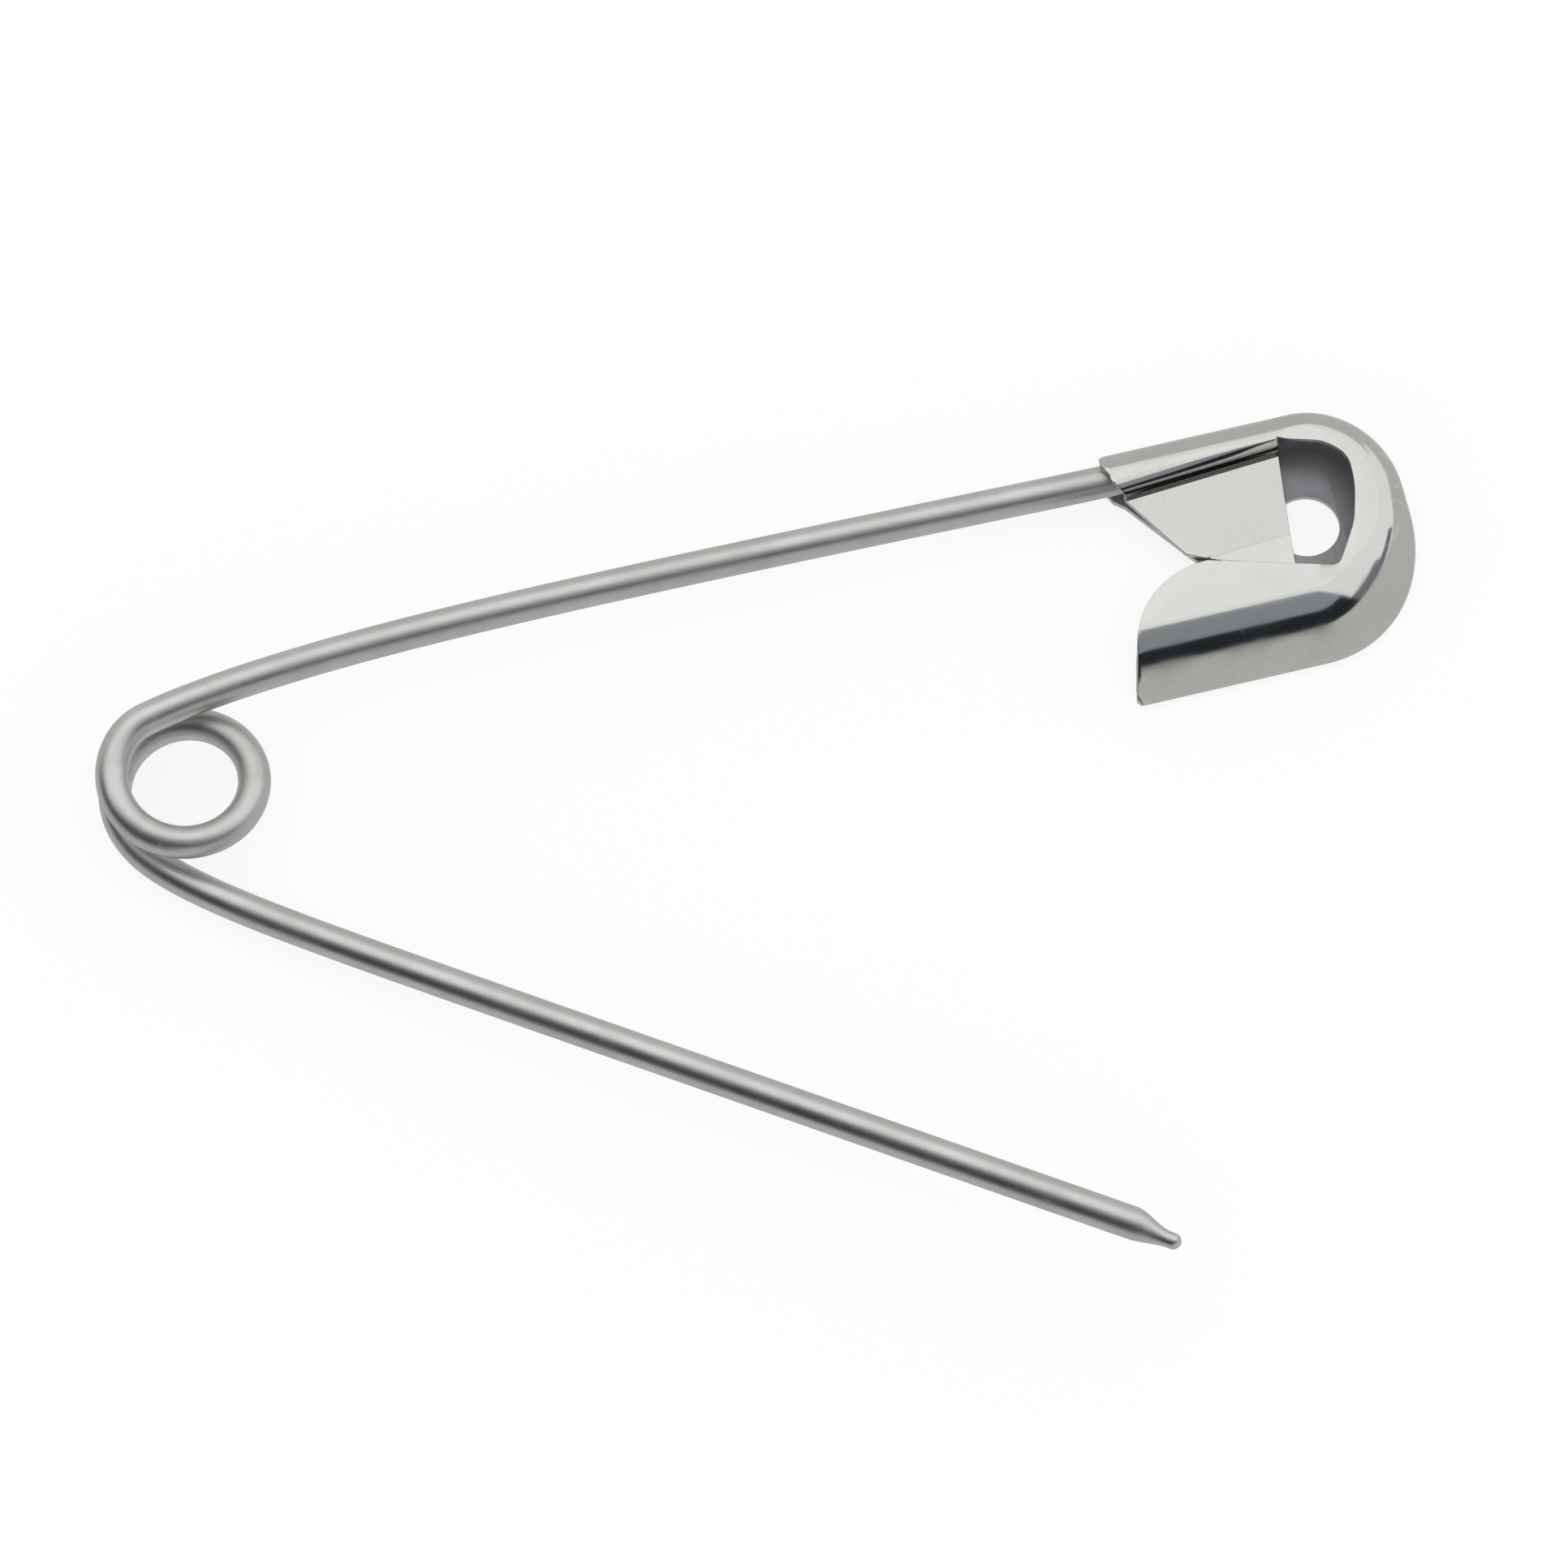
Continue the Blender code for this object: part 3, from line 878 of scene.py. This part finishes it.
# %% [markdown]
# Now the sheet is folded on, as the press does it. From the crest of the channel the skin
# goes on over the wire, down in front of it, through a tight crease, and out as a flap that
# slopes down to the slot. One row of edges is extruded along that profile, step by step.
# Only bends have several steps. A flat stretch is one row, and its faces are joined into
# one, so that it mirrors without ripples. The flap is also sheared a little, because the
# crease isn't parallel to the crest in the photo.

# %% Profile of the channel and the flap
roll_radius = 0.00064
roll_turn = math.radians(86)
roll_steps = 18
wall_drop = 0.00014
crease_radius = 0.00006
crease_steps = 4
flap_slope = math.radians(13.3)
flap_bend_y = -0.0038
bend_slopes = (16, 20, 11)
bend_step = 0.00004
flap_tail = 0.0013


def profile_steps():
    steps = []
    heading = 0
    for index in range(roll_steps):
        turn = roll_turn / roll_steps
        steps.append((heading + turn / 2, roll_radius * turn))
        heading += turn
    steps.append((heading, wall_drop))
    for index in range(crease_steps):
        turn = (roll_turn - flap_slope) / crease_steps
        steps.append((heading - turn / 2, crease_radius * turn))
        heading -= turn
    reach = crest_y - flap_bend_y - sum(math.cos(angle) * length for angle, length in steps)
    steps.append((heading, reach / math.cos(heading)))
    steps += [(math.radians(slope), bend_step) for slope in bend_slopes]
    return steps + [(0, flap_tail)]


print("steps along the profile:", len(profile_steps()))

# %% Channel and pressed flap
crest_cuts = 40
crease_turns = (math.radians(40), math.radians(50))
flat_row_length = flap_tail / 2
flap_shear = 0.07
shear_middle = 0.0037
shear_fade = (0.0002, 0.0007)
# The crease attribute is the share of painted shade that darkens the sheet's colour.
crease = skin.verts.layers.float.new("crease")


def on_crest(vert):
    place = vert.co - mouth
    near = sheet_thickness / 20
    level = abs(place.z - clasp_height) < near
    return level and abs(place.y - crest_y) < near and place.x < channel_end + near


def crest_edges():
    return [edge for edge in skin.edges if edge.is_boundary and all(on_crest(v) for v in edge.verts)]


bmesh.ops.subdivide_edges(skin, edges=crest_edges(), cuts=crest_cuts)
edges = crest_edges()
flap_faces = []
flat_rows = []
for downward, length in profile_steps():
    verts, edges, row = extrude_edges(skin, edges)
    for vert in verts:
        vert[crease] = smooth_share(downward, *crease_turns)
    stride = (0, -math.cos(downward) * length, -math.sin(downward) * length)
    bmesh.ops.translate(skin, verts=verts, vec=stride)
    if length > flat_row_length:
        flat_rows.append(row)
    else:
        flap_faces += row
flap_level = min(vert.co.z for edge in edges for vert in edge.verts)
flap_faces += [bmesh.ops.dissolve_faces(skin, faces=row)["region"][0] for row in flat_rows]
for vert in {vert for face in flap_faces for vert in face.verts}:
    place = vert.co - mouth
    vert.co.y += flap_shear * (place.x - shear_middle) * smooth_share(-place.y, *shear_fade)
print("edges along the crest:", len(edges), "flap edge at mm: %.2f" % (flap_level * 1000))

# %% [markdown]
# The extruded flap is too large. A real press tool would shear it off, and bisect_plane does
# the same here: it splits the faces along an upright plane and clears one side. Three planes
# trim the flap, along the notch, beside the window, and where its corner would run under
# the gutter's lip. A Boolean would need a closed form, and the flap is an open sheet.

# %% Trim the flap
cut_tolerance = sheet_thickness / 1000
notch_line = ((0.00295, -0.0042), (0.00055, -0.0008))
window_line = ((0.00699, -0.0002), (0.0065, -0.0046))
lip_line = ((0.0042, -0.0043), (0.0026, -0.0036))


def trim(faces, first, second):
    along = Vector((second[0] - first[0], second[1] - first[1], 0)).normalized()
    geometry = set(faces)
    for face in faces:
        geometry.update(face.verts, face.edges)
    kept = bmesh.ops.bisect_plane(
        skin,
        geom=list(geometry),
        plane_co=mouth + Vector((*first, 0)),
        plane_no=Vector((-along.y, along.x, 0)),
        clear_outer=True,
        dist=cut_tolerance,
    )["geom"]
    return [item for item in kept if isinstance(item, bmesh.types.BMFace)]


for first, second in (notch_line, window_line, lip_line):
    flap_faces = trim(flap_faces, first, second)
print("flap faces left:", len(flap_faces))

# %% [markdown]
# The press squeezes the channel onto the wire, so its crest, and the flap that hangs from
# it, lie a little lower than the gutter. Here that is a smooth push downwards. It is full
# along the whole channel and fades out behind it, towards the round end. The large flat
# faces there are first cut into strips, because one flat face can't bend.

# %% Squeeze the channel
squeeze = 0.00013
squeeze_fade = (channel_end, 0.0087)
channel_fade = (-0.0016, -0.0008)
strip_count = 12
many_corners = 20

flap_verts = {vert for face in flap_faces for vert in face.verts}
for step in range(strip_count + 1):
    reach = squeeze_fade[0] + (squeeze_fade[1] - squeeze_fade[0]) * step / strip_count
    flats = [face for face in skin.faces if len(face.verts) > many_corners]
    border = {edge for face in flats for edge in face.edges}
    border |= {vert for face in flats for vert in face.verts}
    plane_place = mouth + Vector((reach, 0, 0))
    bmesh.ops.bisect_plane(
        skin, geom=flats + list(border), plane_co=plane_place, plane_no=(1, 0, 0), dist=cut_tolerance
    )
for vert in skin.verts:
    place = vert.co - mouth
    share = 1 - smooth_share(place.x, *squeeze_fade)
    if vert not in flap_verts:
        share *= smooth_share(place.z, rim_radius, clasp_height) * smooth_share(place.y, *channel_fade)
    vert.co.z -= squeeze * share
print("channel lowered by mm: %.2f" % (squeeze * 1000))

# %% [markdown]
# The skin is the outer face of the sheet. Solidify gives it its thickness inwards, with
# materials of their own for the inside and for the cut edges. Bevel breaks those edges, which
# a sheared sheet always has, and Weighted Normal keeps the flat faces flat beside the
# bevels. As modifiers they stay live, so the thickness can still be changed in one place.

# %% Thickness and edges of the sheet
shortest_edge = 0.000015
edge_width = 0.000025
edge_angle = math.radians(50)
bmesh.ops.remove_doubles(skin, verts=skin.verts, dist=shortest_edge)
bmesh.ops.dissolve_degenerate(skin, edges=skin.edges, dist=shortest_edge / 3)
clasp = new_object("clasp_sheet", skin, sheet_nickel, inside_nickel_painted_shade, cut_nickel)
for polygon in clasp.data.polygons:
    polygon.material_index = 0
clasp.data.shade_smooth()
wall = clasp.modifiers.new("sheet thickness", "SOLIDIFY")
wall.thickness = sheet_thickness
wall.offset = -1
wall.use_even_offset = True
# The inside faces get the nickel whose dark colour is painted shade.
wall.material_offset = 1
wall.material_offset_rim = 2
edge = clasp.modifiers.new("broken edges", "BEVEL")
edge.width = edge_width
edge.segments = 2
edge.limit_method = "ANGLE"
edge.angle_limit = edge_angle
edge.use_clamp_overlap = False
normals = clasp.modifiers.new("flat faces stay flat", "WEIGHTED_NORMAL")
normals.keep_sharp = True
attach(clasp, "frame")
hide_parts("clasp")
print("clasp faces before its modifiers:", len(clasp.data.polygons))

# %% [markdown]
# The photo was taken in a white tent. The floor is matt white. The camera sees it mostly as
# plain white light, and a small share takes real light, so the pin keeps a faint shadow. The
# metal sees it as plain light too, but darker than the tent above, because on a real table
# the object and the camera shade it.

# %% Floor
floor_size = 1.5
floor_drop = wire_diameter / 100
camera_white_share = 0.85
mirrored_floor_level = 0.6
bm = bmesh.new()
bmesh.ops.create_grid(bm, x_segments=1, y_segments=1, size=floor_size)
bmesh.ops.translate(bm, verts=bm.verts, vec=(0, 0, -floor_drop))
floor_material = bpy.data.materials.new("floor_white")
floor_material.use_nodes = True
tree = floor_material.node_tree
tree.nodes.remove(tree.nodes["Principled BSDF"])
matt = add_node(tree, "ShaderNodeBsdfDiffuse", values={"Color": (0.92, 0.92, 0.92, 1)})
path = add_node(tree, "ShaderNodeLightPath")
level = add_range(tree, path.outputs["Is Camera Ray"], target=(mirrored_floor_level, 1))
glow = add_node(tree, "ShaderNodeEmission", {"Strength": level}, values={"Color": (1, 1, 1, 1)})
bounced = add_maths(tree, "MAXIMUM", path.outputs["Is Glossy Ray"], path.outputs["Is Transmission Ray"])
share = add_maths(tree, "MULTIPLY_ADD", path.outputs["Is Camera Ray"], camera_white_share, bounced)
both = add_node(tree, "ShaderNodeMixShader", {0: share, 1: matt.outputs[0], 2: glow.outputs[0]})
tree.links.new(both.outputs[0], tree.nodes["Material Output"].inputs["Surface"])
floor = new_object("floor", bm, floor_material)
print("floor", floor_size * 2, "m wide")

# %% [markdown]
# The tent is a plain white world. A picture of a studio could stand in for it, but then its
# windows and lamps would show in the metal, and the photo has none of them. The light that
# falls on the pin is a little stronger than the white that the camera and the metal see.

# %% World
tent_light = 1.04
world = bpy.data.worlds.new("white_tent")
world.use_nodes = True
bpy.context.scene.world = world
tree = world.node_tree
background = tree.nodes["Background"]
background.inputs["Color"].default_value = (1, 1, 1, 1)
path = add_node(tree, "ShaderNodeLightPath")
seen = add_maths(tree, "MAXIMUM", path.outputs["Is Camera Ray"], path.outputs["Is Glossy Ray"])
seen = add_maths(tree, "MAXIMUM", seen, path.outputs["Is Transmission Ray"])
tree.links.new(add_range(tree, seen, target=(tent_light, 1)), background.inputs["Strength"])
print("world:", world.name)

# %% [markdown]
# Polished metal shows the room more than the lamps. The dark lines along the gutter, the
# pin arm and the coil are the photographer's side of the room, low in front and to the
# left, with a blue-grey zone above it and grey walls further round. Curved cards stand for
# them, pieces of one sphere round the pin. A painted world could do the same, but a card is
# easier to find and to move. Only reflections see the cards.

# %% Dark cards
camera_turn = math.radians(14.23)
card_distance = 0.45
black = (0.02, 0.024, 0.03)
blue_grey = (0.3, 0.325, 0.36)
wall_grey = (0.6, 0.6, 0.58)
dark_grey = (0.2, 0.21, 0.24)


def curved_card(name, turns, rises, colour):
    bm = bmesh.new()
    bmesh.ops.create_uvsphere(bm, u_segments=180, v_segments=90, radius=card_distance)
    outside = []
    for face in bm.faces:
        middle = face.calc_center_median()
        turn = math.degrees(math.atan2(middle.y, middle.x)) % 360
        rise = math.degrees(math.asin(middle.z / middle.length))
        if not (turns[0] < turn < turns[1] and rises[0] < rise < rises[1]):
            outside.append(face)
    bmesh.ops.delete(bm, geom=outside, context="FACES")
    bmesh.ops.rotate(bm, verts=bm.verts, matrix=Matrix.Rotation(-camera_turn, 3, "Z"))
    material = bpy.data.materials.new(name)
    material.use_nodes = True
    tree = material.node_tree
    tree.nodes.remove(tree.nodes["Principled BSDF"])
    glow = add_node(tree, "ShaderNodeEmission", values={"Color": (*colour, 1), "Strength": 1})
    tree.links.new(glow.outputs[0], tree.nodes["Material Output"].inputs["Surface"])
    card = new_object(name, bm, material)
    card.visible_camera = card.visible_diffuse = card.visible_shadow = False
    return card


cards = [
    curved_card("card_room", (195, 262), (0, 62), black),
    curved_card("card_room_left", (162, 195), (0, 36), black),
    curved_card("card_strip", (262, 340), (26, 52), black),
    curved_card("card_strip_right", (340, 360), (26, 40), dark_grey),
    curved_card("card_strip_end", (0, 16), (26, 34), dark_grey),
    curved_card("card_above", (195, 262), (62, 82), blue_grey),
    curved_card("card_above_strip", (262, 340), (52, 82), blue_grey),
    curved_card("card_walls_front", (262, 360), (0, 26), wall_grey),
    curved_card("card_walls_right", (0, 60), (0, 24), wall_grey),
    curved_card("card_walls_back", (60, 162), (0, 42), wall_grey),
]
print("cards:", [card.name for card in cards])

# %% [markdown]
# One large soft lamp stands above and behind the pin. The tent does most of the lighting, so
# the lamp only gives the shadow its side.

# %% Lamp
lamp_place = (-0.1, 0.25, 0.6)
lamp_data = bpy.data.lights.new("softbox_above", "AREA")
lamp_data.size = 0.5
lamp_data.energy = 0.08
lamp = bpy.data.objects.new("softbox_above", lamp_data)
bpy.context.scene.collection.objects.link(lamp)
lamp.location = lamp_place
lamp.rotation_euler = Vector(lamp_place).to_track_quat("Z", "Y").to_euler()
print("lamp:", lamp.name)

# %% [markdown]
# The camera looks down at 65 degrees with a long lens, so the pin's shape is almost that
# of a plan drawing, as in the photo. It aims at a place measured from the coil's axis, to
# the right and up in the picture.

# %% Camera
camera_rise = math.radians(65)
camera_distance = 0.3292
aim_right, aim_up = 0.02254, 0.00078
ground_up = Vector((math.sin(camera_turn), math.cos(camera_turn), 0))
ground_right = Vector((ground_up.y, -ground_up.x, 0))
aim = Vector((axis.x, axis.y, 0)) + ground_right * aim_right + ground_up * aim_up
toward = -ground_up * math.cos(camera_rise) + Vector((0, 0, math.sin(camera_rise)))
camera_data = bpy.data.cameras.new("photo_camera")
camera_data.lens = 200
camera_data.sensor_width = 36
camera_data.clip_start = 0.01
camera = bpy.data.objects.new("photo_camera", camera_data)
bpy.context.scene.collection.objects.link(camera)
camera.location = aim + toward * camera_distance
camera.rotation_euler = toward.to_track_quat("Z", "Y").to_euler()
bpy.context.scene.camera = camera
bpy.context.scene.view_settings.view_transform = "Standard"
print("camera:", camera.name, "lens", camera_data.lens, "mm")
